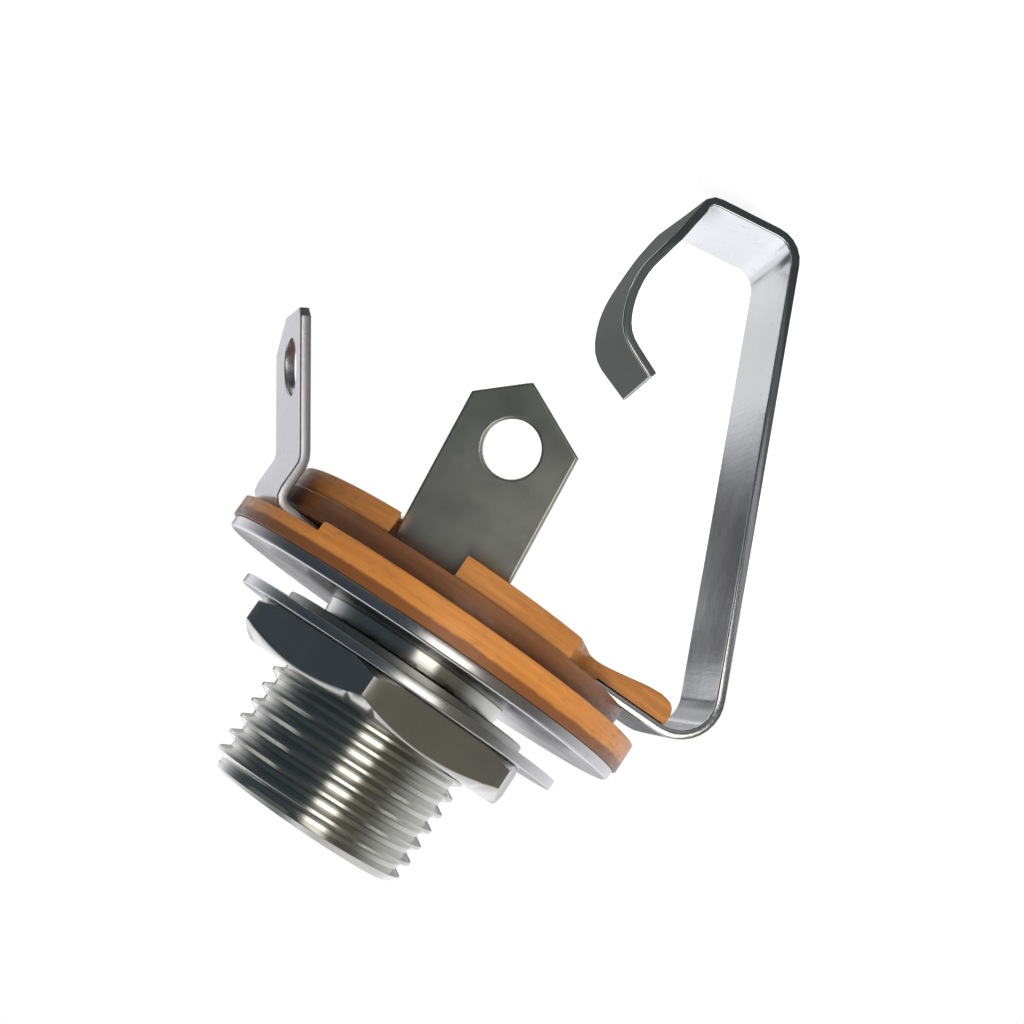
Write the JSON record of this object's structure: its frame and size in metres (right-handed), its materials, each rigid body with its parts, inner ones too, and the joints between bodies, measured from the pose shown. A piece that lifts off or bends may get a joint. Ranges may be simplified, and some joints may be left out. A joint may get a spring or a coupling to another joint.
{
  "type": "mono chassis jack",
  "caption": "Open-frame mono jack for a quarter-inch plug: threaded bushing, nut, washers, phenolic insulators, solder lugs and a hooked tip spring.",
  "frame": {"origin": "on the axis of the plug, in the face of the front plate that sits against the panel", "axes": "+Z along the axis of the plug, the way the plug leaves; the tip spring rises on the -X side and the tip solder lug on the -Y side"},
  "size_m": [0.0246, 0.0198, 0.0329],
  "materials": {
    "plated_barrel": "bright nickel plate",
    "plated_steel": "bright nickel plate",
    "phenolic": "punched sheet with glossy faces",
    "dark_phenolic": "punched sheet",
    "tinned_lug": "dull tin plate",
    "spring_steel": "bright plated strip",
    "tube_paper": "plain"
  },
  "bodies": {
    "frame": {"bushing": "plated_barrel", "front_plate": "plated_steel", "front_insulator": "phenolic", "ground_terminal": "tinned_lug", "middle_insulator": "dark_phenolic", "tip_terminal": "tinned_lug", "insulating_tube": "tube_paper", "tip_spring_root": "spring_steel", "rear_insulator": "phenolic"},
    "spring": {"tip_spring_arm": "spring_steel"},
    "washers": {"lock_washer": "plated_steel", "flat_washer": "plated_steel"},
    "nut": {"hex_nut": "plated_barrel"}
  },
  "joints": [
    {"name": "tip_spring_flex", "type": "hinge", "parent": "frame", "child": "spring", "pos_m": [-0.00957, 0.00072, -0.00305], "axis": [0.075, 0.9972, 0], "range_deg": [0, 17], "stiffness_Nm_per_rad": 0.5},
    {"name": "washer_slide", "type": "slide", "parent": "frame", "child": "washers", "axis": [0, 0, 1], "range_m": [-0.00079, 0.00469]},
    {"name": "nut_spin", "type": "hinge", "parent": "washers", "child": "nut", "pos_m": [0, 0, 0.0026], "axis": [0, 0, 1], "range_deg": [-360, 2130]}
  ],
  "couplings": [
    {"joint": "nut_spin", "follows": "washer_slide", "rad_per_m": 7915.8}
  ]
}
